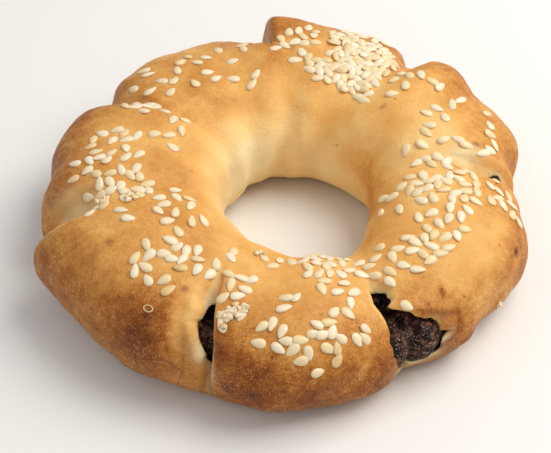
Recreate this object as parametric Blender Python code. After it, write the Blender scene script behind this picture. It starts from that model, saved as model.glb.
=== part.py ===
"""A stuffed brioche ring: one closed roll of dough, cut seven times from its outer side, baked round a dark filling.

The ring lies flat on its base. Its origin is the middle of the base, +Z is up, and angles run anticlockwise
from +X as seen from above. Round the section of the roll, 0 degrees is the outer side, 90 the crown and 180
the side of the hole. The dough is one solid with its sesame seeds. The filling is a second solid that runs all
the way round inside it and shows where the cuts have opened.
"""

import math
import random
from collections import namedtuple

import bpy
import numpy as np
from mathutils import Matrix, Vector
from mathutils.bvhtree import BVHTree

MM = 0.001
SECTION_RADIUS = 18.0  # mm, of the roll: turns degrees round the section into millimetres
HOLE_RADIUS = 19.0  # mm, at the widest level of the roll
HOLE_OFFSET = (2.8, -3.8)  # mm, the hole is a little off the ring's middle
HOLE_STRETCH = 1.2  # mm, and a little longer one way than the other
HOLE_STRETCH_HEADING = 308.0
WIDEST_LEVEL = 0.43  # share of the height at which the roll is widest
CROWN_POWER = 2.25  # of the superellipse above that level; 2 is an ellipse
BASE_POWER = 2.8  # below it, squarer
BASE_SAG = 0.6  # mm of the base pressed flat

# Each segment lies between two cuts. Its reach from the ring's middle and its height are given at its
# start, middle and end, in mm, going anticlockwise.
Segment = namedtuple("Segment", "name reach height")
SEGMENTS = (
    Segment("right_back", (59.6, 60.0, 63.0), (29.8, 31.2, 31.8)),
    Segment("back", (59.0, 62.2, 65.0), (29.4, 31.0, 32.4)),
    Segment("left_back", (59.6, 62.0, 60.0), (28.0, 29.2, 29.4)),
    Segment("left", (60.0, 62.4, 61.4), (29.4, 32.0, 30.8)),
    Segment("left_front", (66.4, 63.4, 62.4), (30.6, 31.0, 27.6)),
    Segment("front", (61.0, 63.6, 57.6), (27.6, 26.8, 25.2)),
    Segment("right_front", (58.8, 60.6, 58.0), (24.6, 28.4, 27.8)),
)

# Each cut starts a segment. Its line is given in degrees round the ring, at a few angles round the section.
# depth is the share of the roll that it goes in. It runs from low to top, in degrees round the section.
# Each side has its lip radius, the width of its sloping face, and how far it stands back from the line, all
# in mm. A size that changes round the section is given as pairs of an angle and a size.
Cut = namedtuple("Cut", "line depth low top floor before after")
Side = namedtuple("Side", "lip face back")
CUTS = (
    Cut(((0, -3.0), (48, -2.8), (66, -3.6), (86, -3.4), (110, -1.5)), 0.30, -60, 82, 0.5,
        Side(1.8, 0.8, ((38, 0.0), (47, 0.9), (55, 0.0))), Side(2.4, 2.4, ((38, 0.0), (47, 0.5), (55, 0.0)))),
    Cut(((0, 47.0), (90, 48.4)), 0.42, -60, 70, 0.3, Side(2.6, 1.6, 0.0), Side(2.6, 1.6, 0.0)),
    Cut(((0, 97.7), (90, 95.4)), 0.26, -60, 70, 0.3, Side(2.0, 0.7, 0.0), Side(3.4, 1.6, 0.0)),
    Cut(((0, 148.6), (60, 150.4), (90, 149.6)), 0.30, -60, 66, 0.3, Side(2.6, 2.6, 0.0), Side(1.6, 0.6, 0.0)),
    Cut(((0, 197.0), (90, 202.0)), 0.25, -60, 64, 0.4, Side(2.4, 5.0, 0.0), Side(2.0, 1.0, 0.0)),
    Cut(((-10, 251.4), (20, 251.8), (32, 251.4), (54, 249.8), (68, 248.8), (82, 248.5), (96, 247.0)),
        0.34, -24, 80, 0.5,
        Side(4.4, ((0, 1.2), (24, 1.2), (34, 0.4), (58, 0.4), (67, 1.7), (88, 1.7)),
             ((26, 0.0), (31, 0.8), (41, 1.5), (49, 2.0), (56, 1.3), (61, 0.6), (66, 0.2), (86, 0.0))),
        Side(1.5, 0.5, 0.0)),
    Cut(((-14, 299.7), (0, 298.3), (16, 296.7), (28, 296.0), (45, 295.1), (66, 294.7), (80, 295.3), (96, 296.4)),
        0.38, -28, 80, 0.6, Side(1.6, 0.6, 0.0),
        Side(1.4, ((-10, 0.5), (60, 0.5), (66, 1.6), (84, 1.6)),
             ((-5, 0.0), (-2, 3.4), (0, 6.4), (5, 8.9), (10, 10.6), (14.5, 12.0), (17, 11.5), (26, 9.0), (36, 7.3),
              (40, 6.7), (47, 5.8), (51, 4.9), (56, 2.7), (60, 2.0), (66, 2.1), (74, 1.9), (78, 1.2), (84, 0.0)))),
)
BLEND = 18.0  # degrees over which two segments run into each other where no cut parts them

# Soft folds of the crust: where, which way each runs (0 along the ring, 90 up the section), half its length
# and half its width in mm, and its height, less than 0 for a furrow.
Fold = namedtuple("Fold", "theta phi heading long wide height")
FOLDS = (
    # pleats and creases
    Fold(243.2, 44, 100, 8.0, 1.5, -1.5),
    Fold(285.0, 12, 44, 8.0, 1.4, -0.9),
    Fold(309.0, 14, -50, 11.0, 2.2, 0.9),
    Fold(309.0, -14, -30, 9.0, 4.0, -1.2),
    Fold(160.0, 182, 60, 5.0, 2.0, -0.9),
    Fold(16.0, 165, 90, 9.0, 1.8, -0.7),
    Fold(222.0, 24, 20, 11.0, 4.0, 0.5),
    Fold(118.0, 60, 0, 10.0, 4.0, -0.5),
    # bulges between the cuts
    Fold(341.0, 0, 0, 7.0, 11.0, 2.4),
    Fold(13.0, 25, 90, 10.0, 5.0, 2.4),
    Fold(38.0, 62, 0, 5.0, 8.0, 2.2),
    Fold(163.0, 24, 0, 6.0, 9.0, 0.9),
    Fold(130.0, 38, 0, 5.0, 8.0, 1.0),
    Fold(352.0, 18, 0, 4.0, 6.0, 0.5),
    Fold(218.0, -20, 0, 6.0, 6.0, 0.4),
    Fold(189.0, 3, 0, 4.0, 7.0, 0.6),
    Fold(201.0, 27, 0, 3.5, 6.0, 0.6),
    Fold(240.0, -26, 0, 6.0, 6.0, 0.4),
    Fold(340.0, 180, 0, 7.0, 12.0, 2.3),
    Fold(154.0, -148, 0, 3.0, 5.0, 1.2),
    # hollows beside the cuts and under the sides
    Fold(4.5, 0, 0, 4.5, 10.0, -3.2),
    Fold(30.0, 34, 0, 5.0, 8.0, -1.2),
    Fold(53.0, 32, 0, 3.0, 10.0, -2.6),
    Fold(84.0, 44, 0, 5.0, 7.0, -0.7),
    Fold(101.0, 42, 0, 4.0, 8.0, -0.8),
    Fold(120.0, 40, 0, 6.0, 9.0, -1.0),
    Fold(145.5, 34, 0, 3.2, 9.0, -3.4),
    Fold(155.0, 60, 0, 3.0, 5.0, -1.0),
    Fold(54.0, 22, 0, 2.5, 6.0, -1.0),
    Fold(151.0, 36, 0, 3.4, 12.0, -3.4),
    Fold(178.0, 15, 0, 5.0, 9.0, -1.6),
    Fold(222.0, -25, 0, 7.0, 7.0, -1.1),
    Fold(257.0, -28, 0, 6.0, 7.0, -1.6),
    Fold(284.0, -30, 0, 10.0, 8.0, -1.7),
    Fold(300.0, -30, 0, 5.0, 6.0, -1.5),
    Fold(322.0, -18, 0, 5.0, 9.0, -2.4),
    Fold(351.0, 14, 0, 5.0, 9.0, -1.2),
    Fold(206.0, 176, 0, 4.0, 8.0, -1.8),
    Fold(177.0, -162, 0, 3.0, 8.0, -1.1),
    Fold(230.0, 156, 0, 5.0, 6.0, -0.7),
    Fold(299.0, 146, 0, 5.0, 7.0, -1.8),
    Fold(114.0, 212, 0, 5.0, 7.0, -0.7),
    Fold(86.0, 214, 0, 6.0, 7.0, -0.6),
)

# The room for the filling: a share of the roll all the way round, wider where a cut has opened. Each swelling
# is its place, its half widths in degrees along the ring and round the section, and the share it adds.
Swell = namedtuple("Swell", "theta phi along around share")
ROOM_SHARE = 0.56
ROOM = (
    Swell(250.5, 36, 7.0, 22, 0.29),
    Swell(301.5, 20, 10.0, 38, 0.35),
    Swell(356.5, 46, 4.0, 9, 0.30),
)
FILLING_GAP = 0.45  # mm
FILLING_DIPS = (
    Swell(301.0, 66, 11.0, 17, -0.36),
    Swell(299.6, 20, 1.6, 40, -0.12),
    Swell(311.0, 16, 3.5, 14, -0.12),
    Swell(248.0, 64, 7.0, 16, -0.20),
    Swell(252.0, 8, 3.5, 8, -0.06),
)

# Sesame seeds lie in patches: the middle, the half widths in degrees along the ring and round the section,
# and the number of seeds. The solid has a share of them, spread over every patch.
SEED_SHARE = 0.33
SEED_SIZE = (3.8, 2.3, 1.0)  # mm
SEED_SPACING = 2.3  # mm
Patch = namedtuple("Patch", "theta phi along around count")
PATCHES = (
    Patch(8, 104, 7, 27, 8),
    Patch(13, 51, 7, 6, 4),
    Patch(2, 56, 2, 10, 2),
    Patch(24, 84, 7, 17, 6),
    Patch(41, 90, 8, 24, 7),
    Patch(63, 84, 9, 20, 56),
    Patch(67, 90, 12, 36, 44),
    Patch(80, 92, 7, 28, 9),
    Patch(91, 80, 5, 14, 5),
    Patch(109, 95, 7, 32, 7),
    Patch(122, 88, 6, 26, 6),
    Patch(139, 76, 8, 32, 9),
    Patch(156, 90, 6, 12, 9),
    Patch(160, 118, 7, 10, 4),
    Patch(179, 76, 9, 20, 15),
    Patch(190, 72, 6, 30, 12),
    Patch(173, 118, 4, 10, 3),
    Patch(202, 80, 4, 26, 13),
    Patch(210, 98, 6, 28, 8),
    Patch(230, 72, 7, 20, 16),
    Patch(226, 112, 9, 16, 6),
    Patch(241, 86, 5, 9, 5),
    Patch(248, 112, 2, 8, 2),
    Patch(246.5, 49, 0.3, 1, 1),
    Patch(254, 76, 4, 14, 7),
    Patch(256, 47, 3, 8, 3),
    Patch(264, 45, 5, 14, 8),
    Patch(277, 33, 5, 16, 14),
    Patch(285, 43, 5, 14, 9),
    Patch(270, 64, 3, 6, 2),
    Patch(284, 80, 5, 9, 5),
    Patch(268, 120, 9, 14, 5),
    Patch(281, 112, 7, 24, 12),
    Patch(292, 114, 7, 22, 11),
    Patch(303, 98, 5, 22, 6),
    Patch(315, 80, 8, 19, 15),
    Patch(300.7, 43, 0.2, 1, 1),
    Patch(300, 69, 1, 2, 1),
    Patch(331, 88, 7, 24, 13),
    Patch(334, 130, 6, 18, 5),
    Patch(345, 112, 7, 20, 13),
    Patch(345, 78, 7, 16, 10),
    Patch(346, 42, 5, 15, 9),
    Patch(356, 86, 4, 38, 8),
)

ROWS = 20
ROWS_CLOSER = 0.9
LIP_STEPS = 2
BETWEEN = 4
ROOM_COLUMNS = 60
ROOM_ROWS = 12


def eased(value):
    value = np.clip(value, 0.0, 1.0)
    return value * value * (3.0 - 2.0 * value)


def wrapped(degrees):
    return (np.asarray(degrees) + 180.0) % 360.0 - 180.0


def bell(theta, phi, swell):
    along = wrapped(theta - swell.theta) / swell.along
    around = wrapped(phi - swell.phi) / swell.around
    return swell.share * np.exp(-0.5 * (along * along + around * around))


def section(theta, phi, reach, height):
    """The core of the roll, and the way from it to the crust, in mm."""
    turn = np.radians(theta)
    inner = HOLE_RADIUS + HOLE_OFFSET[0] * np.cos(turn) + HOLE_OFFSET[1] * np.sin(turn)
    inner = inner + HOLE_STRETCH * np.cos(2.0 * (turn - math.radians(HOLE_STRETCH_HEADING)))
    core = (inner + reach) / 2.0
    half = (reach - inner) / 2.0
    level = WIDEST_LEVEL * height
    across = np.cos(np.radians(phi))
    up = np.sin(np.radians(phi))
    power = 2.0 / np.where(up >= 0.0, CROWN_POWER, BASE_POWER)
    rise = np.where(up >= 0.0, height - level, level + BASE_SAG)
    across = half * np.sign(across) * np.abs(across) ** power
    up = rise * np.sign(up) * np.abs(up) ** power
    return core, level, across, up


def place(theta, core, level, across, up, share, lift):
    """Points of a surface that is share of the way to the crust, raised by lift mm."""
    length = np.sqrt(across * across + up * up)
    share = share + lift / length
    radius = core + share * across
    z = np.maximum(level + share * up, 0.0)
    turn = np.radians(theta)
    return np.stack([radius * np.cos(turn), radius * np.sin(turn), z], axis=-1)


def through(values, share):
    """A smooth run through a start, a middle and an end."""
    start, middle, end = values
    bend = start - 2.0 * middle + end
    return start + (4.0 * middle - 3.0 * start - end) * share + 2.0 * bend * share * share


def read_off(size, phi):
    """A size at angle phi round the section: one number, or pairs of an angle and a number."""
    if isinstance(size, tuple):
        return np.interp(phi, [pair[0] for pair in size], [pair[1] for pair in size])
    return size + 0.0 * phi


def line_of(cut, phi):
    return read_off(cut.line, phi)


def depth_of(cut, phi):
    soft = 16.0
    rise = eased((phi - cut.low + soft) / (2.0 * soft))
    fall = eased((cut.top + soft - phi) / (2.0 * soft))
    return cut.depth * rise * fall


def side_stations(cut, side, phi, lip_steps):
    """Distances from the line of the cut in mm, each with its share of the roll."""
    depth = depth_of(cut, phi)
    drop = np.minimum(0.6 * depth, side.lip / SECTION_RADIUS)
    foot = cut.floor / 2.0 + read_off(side.back, phi)
    edge = foot + read_off(side.face, phi)
    stations = [(foot, 1.0 - depth), (edge, 1.0 - drop)]
    for step in range(1, lip_steps + 1):
        part = step / lip_steps
        fall = 1.0 - math.sqrt(1.0 - (1.0 - part) ** 2)
        stations.append((edge + side.lip * part, 1.0 - drop * fall))
    return stations


def row_angles(rows):
    """Angles round the section, closer together on the outer side, where the cuts are."""
    angle = np.arange(rows + 1) * 360.0 / rows - 180.0
    fine = 1.0 + ROWS_CLOSER * eased((angle + 50.0) / 30.0) * eased((105.0 - angle) / 30.0)
    step = 1.0 / ((fine[1:] + fine[:-1]) / 2.0)
    return -180.0 + np.concatenate([[0.0], np.cumsum(step)[:-1]]) * 360.0 / step.sum()


def segment_size(index, angle, phi, start, finish):
    """Reach and height of a segment, run into its neighbours' wherever no cut parts them."""
    count = len(SEGMENTS)
    past, own, coming = SEGMENTS[index - 1], SEGMENTS[index], SEGMENTS[(index + 1) % count]
    cut, next_cut = CUTS[index], CUTS[(index + 1) % count]
    part = np.clip((angle - start) / (finish - start), 0.0, 1.0)
    near = eased(1.0 - (angle - start) / BLEND) * (1.0 - depth_of(cut, phi) / cut.depth)
    far = eased(1.0 - (finish - angle) / BLEND) * (1.0 - depth_of(next_cut, phi) / next_cut.depth)
    reach = (through(own.reach, part) + near * (past.reach[2] - own.reach[0]) / 2.0
             + far * (coming.reach[0] - own.reach[2]) / 2.0)
    height = (through(own.height, part) + near * (past.height[2] - own.height[0]) / 2.0
              + far * (coming.height[0] - own.height[2]) / 2.0)
    return reach, height


def crust_grid(rows, lip_steps, between):
    """Columns along the ring by rows round the section: angle, reach, height and share of the roll."""
    phi = row_angles(rows)
    flat = np.ones(rows)
    # past the crown, towards the hole, a distance in mm keeps the angle that it has at the crown
    degrees = np.degrees(1.0 / np.where(np.abs(phi) < 90.0, 42.0 + 19.0 * np.cos(np.radians(phi)), 42.0))
    columns = []
    count = len(CUTS)
    for index, cut in enumerate(CUTS):
        past = SEGMENTS[index - 1]
        own = SEGMENTS[index]
        coming = CUTS[(index + 1) % count]
        reach = (past.reach[2] + own.reach[0]) / 2.0
        height = (past.height[2] + own.height[0]) / 2.0
        start = line_of(cut, phi)
        finish = line_of(coming, phi) + (360.0 if index == count - 1 else 0.0)
        columns.append((start, reach * flat, height * flat, 1.0 - depth_of(cut, phi)))

        rising = side_stations(cut, cut.after, phi, lip_steps)
        falling = side_stations(coming, coming.before, phi, lip_steps)
        skin = [(start + distance * degrees, share) for distance, share in rising]
        first = skin[-1][0]
        last = finish - falling[-1][0] * degrees
        for step in range(1, between + 1):
            skin.append((first + (last - first) * step / (between + 1.0), flat))
        skin.extend((finish - distance * degrees, share) for distance, share in reversed(falling))
        for angle, share in skin:
            columns.append((angle, *segment_size(index, angle, phi, start, finish), share))
    theta, reach, height, share = (np.array([column[k] for column in columns]) for k in range(4))
    return theta, np.broadcast_to(phi, theta.shape), reach, height, share


def unevenness(theta, phi):
    """Low swells and folds of the crust in mm, none on the base."""
    draw = random.Random(7)
    total = np.zeros(theta.shape)
    for _ in range(12):
        waves = draw.randint(3, 13)
        turns = draw.randint(-2, 2)
        total += draw.uniform(0.08, 0.2) * np.sin(np.radians(waves * theta + turns * phi + draw.uniform(0, 360)))
    for fold in FOLDS:
        along = np.radians(wrapped(theta - fold.theta)) * (42.0 + 19.0 * np.cos(np.radians(fold.phi)))
        around = np.radians(wrapped(phi - fold.phi)) * SECTION_RADIUS
        turn = math.radians(fold.heading)
        run = (along * math.cos(turn) + around * math.sin(turn)) / fold.long
        off = (around * math.cos(turn) - along * math.sin(turn)) / fold.wide
        total += fold.height * np.exp(-0.5 * (run * run + off * off) - 0.15 * run ** 4)
    return total * (0.15 + 0.85 * eased((np.sin(np.radians(phi)) + 0.95) / 0.5))


def torus(name, columns, rows, points, collection, material):
    """A torus of that many columns and rows with its vertices moved to the points."""
    bpy.ops.mesh.primitive_torus_add(major_segments=columns, minor_segments=rows,
                                     major_radius=0.05, minor_radius=0.015)
    piece = bpy.context.object
    piece.name = name
    piece.data.name = name
    piece.data.vertices.foreach_set("co", (points.reshape(-1) * MM).astype(np.float32))
    piece.data.update()
    piece.data.materials.clear()
    if material:
        piece.data.materials.append(material)
    for holder in list(piece.users_collection):
        holder.objects.unlink(piece)
    collection.objects.link(piece)
    return piece


def room_points(theta, phi, filling):
    """The room inside the dough, or the filling a small gap inside it."""
    lines = [float(line_of(cut, 0.0)) for cut in CUTS]
    lines.append(lines[0] + 360.0)
    reach = np.zeros(theta.shape)
    height = np.zeros(theta.shape)
    turned = lines[0] + (theta - lines[0]) % 360.0
    for index, segment in enumerate(SEGMENTS):
        inside = (turned >= lines[index]) & (turned < lines[index + 1])
        part = (turned - lines[index]) / (lines[index + 1] - lines[index])
        # the inside doesn't step at the cuts: each segment gives its middle values
        blend = eased(part)
        before = SEGMENTS[index - 1]
        after = SEGMENTS[(index + 1) % len(SEGMENTS)]
        low = (before.reach[1] + segment.reach[1]) / 2.0, (before.height[1] + segment.height[1]) / 2.0
        high = (after.reach[1] + segment.reach[1]) / 2.0, (after.height[1] + segment.height[1]) / 2.0
        reach = np.where(inside, low[0] + (high[0] - low[0]) * blend, reach)
        height = np.where(inside, low[1] + (high[1] - low[1]) * blend, height)
    core, level, across, up = section(theta, phi, reach, height)
    share = np.full(theta.shape, ROOM_SHARE)
    for swell in ROOM:
        share += bell(theta, phi, swell)
    lift = np.zeros(theta.shape)
    if filling:
        for swell in FILLING_DIPS:
            share += bell(theta, phi, swell)
        lift -= FILLING_GAP
    return place(theta, core, level, across, up, share, lift)


def room_grid(columns, rows):
    theta = np.arange(columns) * 360.0 / columns
    phi = wrapped(np.arange(rows) * 360.0 / rows)
    return np.meshgrid(theta, phi, indexing="ij")


def apply_boolean(target, operation, solver, tool=None, tools=None):
    cut = target.modifiers.new("join", "BOOLEAN")
    cut.operation = operation
    cut.solver = solver
    if tools:
        cut.operand_type = "COLLECTION"
        cut.collection = tools
    else:
        cut.object = tool
    bpy.ops.object.select_all(action="DESELECT")
    target.select_set(True)
    bpy.context.view_layer.objects.active = target
    bpy.ops.object.modifier_apply(modifier=cut.name)


def seed_points(mesh, draw):
    """The seed's own form, pointed at one end."""
    length, width, thick = (size * draw.uniform(0.9, 1.1) for size in SEED_SIZE)
    points = []
    for vertex in mesh.vertices:
        along = vertex.co.z
        girth = 1.0 - 0.28 * along - 0.1 * along * along
        points.append(Vector((along * length / 2.0, vertex.co.x * girth * width / 2.0,
                              vertex.co.y * girth * thick / 2.0)) * MM)
    return points


def scatter(dough, cutters):
    """Put the seeds of every patch on the crust."""
    draw = random.Random(21)
    dough.data.calc_loop_triangles()
    tree = BVHTree.FromPolygons([v.co.copy() for v in dough.data.vertices],
                                [list(t.vertices) for t in dough.data.loop_triangles])
    bpy.ops.mesh.primitive_uv_sphere_add(segments=6, ring_count=3, radius=1.0)
    pattern = bpy.context.object
    taken = []
    number = 0
    for patch in PATCHES:
        for _ in range(round(patch.count * SEED_SHARE)):
            spot = None
            for _ in range(60):
                theta = patch.theta + draw.uniform(-1, 1) * patch.along
                phi = patch.phi + draw.uniform(-1, 1) * patch.around
                spot = crust_point(tree, theta, phi)
                if spot and all((spot[0] - other).length > SEED_SPACING * MM for other in taken):
                    break
                spot = None
            if not spot:
                continue
            point, normal = spot
            taken.append(point)
            mesh = pattern.data.copy()
            for vertex, co in zip(mesh.vertices, seed_points(mesh, draw)):
                vertex.co = co
            piece = bpy.data.objects.new(f"seed_{number}", mesh)
            lean = Matrix.Rotation(draw.gauss(0, 0.1), 4, "X") @ Matrix.Rotation(draw.gauss(0, 0.08), 4, "Y")
            turn = Matrix.Rotation(draw.uniform(0, 2 * math.pi), 4, "Z")
            stand = normal.to_track_quat("Z", "Y").to_matrix().to_4x4()
            sunk = Matrix.Translation(point + normal * SEED_SIZE[2] * 0.22 * MM)
            mesh.transform(sunk @ stand @ turn @ lean)
            cutters.objects.link(piece)
            number += 1
    bpy.data.objects.remove(pattern)
    return number


def crust_distance(theta, phi):
    """About how far the uncut crust is from the core at angle phi, in mm."""
    tilt = math.radians(phi)
    for index, cut in enumerate(CUTS):
        start = line_of(cut, phi)
        length = (line_of(CUTS[(index + 1) % len(CUTS)], phi) - start) % 360.0
        part = ((theta - start) % 360.0) / length
        if part < 1.0:
            half = through(SEGMENTS[index].reach, part) - 41.0
            rise = through(SEGMENTS[index].height, part) - 12.5
            return 1.0 / math.hypot(math.cos(tilt) / half, math.sin(tilt) / rise)
    return 0.0


def crust_hit(tree, theta, phi):
    """Where a line from the core, at angle phi, leaves the crust, or None in a cut."""
    turn = math.radians(theta)
    tilt = math.radians(phi)
    core = Vector((41.0 * math.cos(turn), 41.0 * math.sin(turn), 12.5)) * MM
    heading = Vector((math.cos(turn) * math.cos(tilt), math.sin(turn) * math.cos(tilt), math.sin(tilt)))
    point, normal, index, distance = tree.ray_cast(core + heading * 0.03, -heading)
    return point if point and 30.0 - distance / MM > 0.87 * crust_distance(theta, phi) else None


def crust_point(tree, theta, phi):
    """The middle and the normal of the small patch of crust that a seed lies on."""
    hits = [crust_hit(tree, theta + a, phi + b) for a, b in ((0, 0), (-1.5, 0), (1.5, 0), (0, -4), (0, 4))]
    if not all(hits):
        return None
    normal = (hits[2] - hits[1]).cross(hits[4] - hits[3]).normalized()
    return sum(hits, Vector()) / 5.0, normal


def material(name, colour, roughness):
    made = bpy.data.materials.new(name)
    made.use_nodes = True
    shader = made.node_tree.nodes["Principled BSDF"]
    shader.inputs["Base Color"].default_value = (*colour, 1.0)
    shader.inputs["Roughness"].default_value = roughness
    made.diffuse_color = (*colour, 1.0)
    return made


def build():
    for item in list(bpy.data.objects):
        bpy.data.objects.remove(item)
    parts = bpy.data.collections.new("brioche_ring")
    cutters = bpy.data.collections.new("cutters")
    seeds = bpy.data.collections.new("seeds")
    for holder in (parts, cutters, seeds):
        bpy.context.scene.collection.children.link(holder)
    crust = material("baked_crust", (0.62, 0.30, 0.09), 0.5)
    dark = material("dark_filling", (0.035, 0.018, 0.014), 0.45)

    theta, phi, reach, height, share = crust_grid(ROWS, LIP_STEPS, BETWEEN)
    core, level, across, up = section(theta, phi, reach, height)
    points = place(theta, core, level, across, up, share, unevenness(theta, phi))
    dough = torus("dough", theta.shape[0], ROWS, points, parts, crust)

    theta, phi = room_grid(ROOM_COLUMNS, ROOM_ROWS)
    room = torus("room", ROOM_COLUMNS, ROOM_ROWS, room_points(theta, phi, False), cutters, crust)
    filling = torus("filling", ROOM_COLUMNS, ROOM_ROWS, room_points(theta, phi, True), parts, dark)

    apply_boolean(dough, "DIFFERENCE", "MANIFOLD", tool=room)
    bpy.data.objects.remove(room)
    number = scatter(dough, seeds)
    apply_boolean(dough, "UNION", "MANIFOLD", tools=seeds)
    for item in list(seeds.objects):
        bpy.data.objects.remove(item)

    corners = np.array([v.co for v in dough.data.vertices])
    low, high = corners.min(axis=0), corners.max(axis=0)
    shift = Vector((-(low[0] + high[0]) / 2.0, -(low[1] + high[1]) / 2.0, -low[2]))
    for piece in (dough, filling):
        piece.data.transform(Matrix.Translation(shift))
        piece.data.update()
    print("seeds", number, "dough triangles", sum(len(p.vertices) - 2 for p in dough.data.polygons))
    print("shift mm", [round(v / MM, 3) for v in shift], "size mm", [round(v / MM, 2) for v in high - low])


build()
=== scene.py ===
# %% [markdown]
# # A stuffed brioche ring
# A roll of sweet dough with a dark filling is closed into a ring, snipped seven times from its outer side,
# brushed, strewn with sesame and baked until golden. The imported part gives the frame: its size, its place and
# the names of its two solids, `dough` and `filling`. This script dresses them as the real bun looks.

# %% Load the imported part
import math
import random
from collections import namedtuple

import bpy
import numpy as np
from mathutils import Matrix, Vector
from mathutils.bvhtree import BVHTree
from mathutils.kdtree import KDTree


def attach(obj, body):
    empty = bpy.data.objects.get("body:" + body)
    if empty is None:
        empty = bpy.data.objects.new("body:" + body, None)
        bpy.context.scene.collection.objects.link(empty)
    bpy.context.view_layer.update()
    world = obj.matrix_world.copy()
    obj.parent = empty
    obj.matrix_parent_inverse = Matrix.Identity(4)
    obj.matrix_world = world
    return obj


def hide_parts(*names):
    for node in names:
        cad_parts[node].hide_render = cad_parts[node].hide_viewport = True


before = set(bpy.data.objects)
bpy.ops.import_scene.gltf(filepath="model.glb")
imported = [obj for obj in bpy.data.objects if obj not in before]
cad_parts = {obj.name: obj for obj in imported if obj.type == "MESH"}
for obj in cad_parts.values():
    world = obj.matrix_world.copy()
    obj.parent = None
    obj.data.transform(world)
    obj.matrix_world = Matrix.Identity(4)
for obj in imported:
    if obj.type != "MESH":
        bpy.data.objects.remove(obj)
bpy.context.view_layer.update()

MM = 0.001  # metres

# %% [markdown]
# ## Camera, floor and light
# The bun was looked at from the front and from halfway up, through a long lens, so that its far side is only
# a little smaller than its near side. A camera turned 45 degrees down at 0.4 m gives that. A pale floor and
# large soft lamps keep the shadows gentle, and leave the crust to show its own browning.

# %% The camera
RING_MIDDLE = Vector((1.681, -0.346, 0.0)) * MM  # the ring's own middle, from the middle of its box
VIEW_DOWN = 45.0  # degrees
VIEW_DISTANCE = 0.400  # metres
VIEW_TARGET = RING_MIDDLE + Vector((-3.4, 4.0, 0.0)) * MM
LENS_PIXELS = 1518.0  # the lens, measured in pixels of a picture that is FRAME_WIDTH pixels wide
FRAME_WIDTH = 551.0
SENSOR = 36.0


def deselect():
    """Leave nothing selected, so that the next step takes only what it makes or is given."""
    bpy.ops.object.select_all(action="DESELECT")


deselect()
heading = Vector((0.0, math.cos(math.radians(VIEW_DOWN)), -math.sin(math.radians(VIEW_DOWN))))
bpy.ops.object.camera_add(location=VIEW_TARGET - heading * VIEW_DISTANCE,
                          rotation=(math.radians(90.0 - VIEW_DOWN), 0.0, 0.0))
camera = bpy.context.object
camera.data.sensor_width = SENSOR
camera.data.lens = LENS_PIXELS / FRAME_WIDTH * SENSOR
camera.data.clip_start = 0.01
bpy.context.scene.camera = camera
print("lens mm", round(camera.data.lens, 1))


# %% A helper for colours, and one for nodes
def linear(hex_colour):
    """An sRGB hex colour as the linear one that a shader wants."""
    parts = [int(hex_colour[k:k + 2], 16) / 255.0 for k in (1, 3, 5)]
    return tuple(p / 12.92 if p <= 0.04045 else ((p + 0.055) / 1.055) ** 2.4 for p in parts) + (1.0,)


def set_inputs(shader, **values):
    for name, value in values.items():
        shader.inputs[name.replace("_", " ")].default_value = value


def add_node(tree, kind, settings=None, **links):
    """Add a node. settings are its own properties, links its inputs: a socket to link or a plain value."""
    node = tree.nodes.new(kind)
    for name, value in (settings or {}).items():
        setattr(node, name, value)
    for name, value in links.items():
        key = int(name[1:]) if name[0] == "i" and name[1:].isdigit() else name.replace("_", " ")
        if isinstance(value, bpy.types.NodeSocket):
            tree.links.new(value, node.inputs[key])
        else:
            node.inputs[key].default_value = value
    return node


# %% The floor
bpy.ops.mesh.primitive_plane_add(size=4.0, location=(0.0, 0.0, 0.0))
floor = bpy.context.object
floor.name = "floor"
# uncoated paper has no sheen, so the bun throws a soft shadow on it and no reflection
paper = bpy.data.materials.new("matte white paper")
paper.use_nodes = True
set_inputs(paper.node_tree.nodes["Principled BSDF"], Base_Color=linear("#F1F0EE"), Roughness=0.9)
floor.data.materials.append(paper)


# %% Soft lamps and a pale surround
def soft_lamp(name, place, size, watts, tint):
    """A square lamp of that size in metres, turned to the middle of the floor."""
    bpy.ops.object.light_add(type="AREA", location=place)
    lamp = bpy.context.object
    lamp.name = name
    lamp.data.size = size
    lamp.data.energy = watts
    lamp.data.color = linear(tint)[:3]
    lamp.rotation_euler = (-Vector(place)).to_track_quat("-Z", "Y").to_euler()


soft_lamp("key", (0.33, 0.07, 0.50), 0.45, 3.2, "#FFFAF2")
soft_lamp("fill", (-0.40, -0.30, 0.45), 0.60, 0.4, "#F6F8FF")
surround = bpy.data.worlds.new("white studio")
surround.use_nodes = True
set_inputs(surround.node_tree.nodes["Background"], Color=linear("#FFFFFF"), Strength=0.45)
bpy.context.scene.world = surround
bpy.context.scene.view_settings.view_transform = "Standard"

# %% [markdown]
# ## The shape of the ring
# The section of the roll is nearly an ellipse, pressed flat below where it lay on the tray. Each of the seven
# segments has its own reach and height, because the dough rose unevenly between the cuts. One could sculpt
# this by hand, but a rule is easier to keep true to the solid: a flat sheet is rolled up, each of its points
# at its place on a section whose size follows the angle round the ring.
#
# Two angles in degrees name every place on the crust. `theta` runs round the ring, anticlockwise from +X.
# `phi` runs round the section of the roll: 0 is the outer side, 90 the crown and 180 the side of the hole.

# %% Sizes of the ring, in mm
SECTION_RADIUS = 18.0  # of the roll: turns degrees round the section into millimetres
HOLE_RADIUS = 19.0  # at the widest level of the roll
HOLE_OFFSET = (2.8, -3.8)  # the hole is a little off the ring's middle
HOLE_STRETCH = 1.2  # and a little longer one way than the other
HOLE_STRETCH_HEADING = 308.0
WIDEST_LEVEL = 0.43  # share of the height at which the roll is widest
CROWN_POWER = 2.25  # of the superellipse above that level; 2 is an ellipse
BASE_POWER = 2.8  # below it, squarer
BASE_SAG = 0.6  # how much of the base is pressed flat

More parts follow.
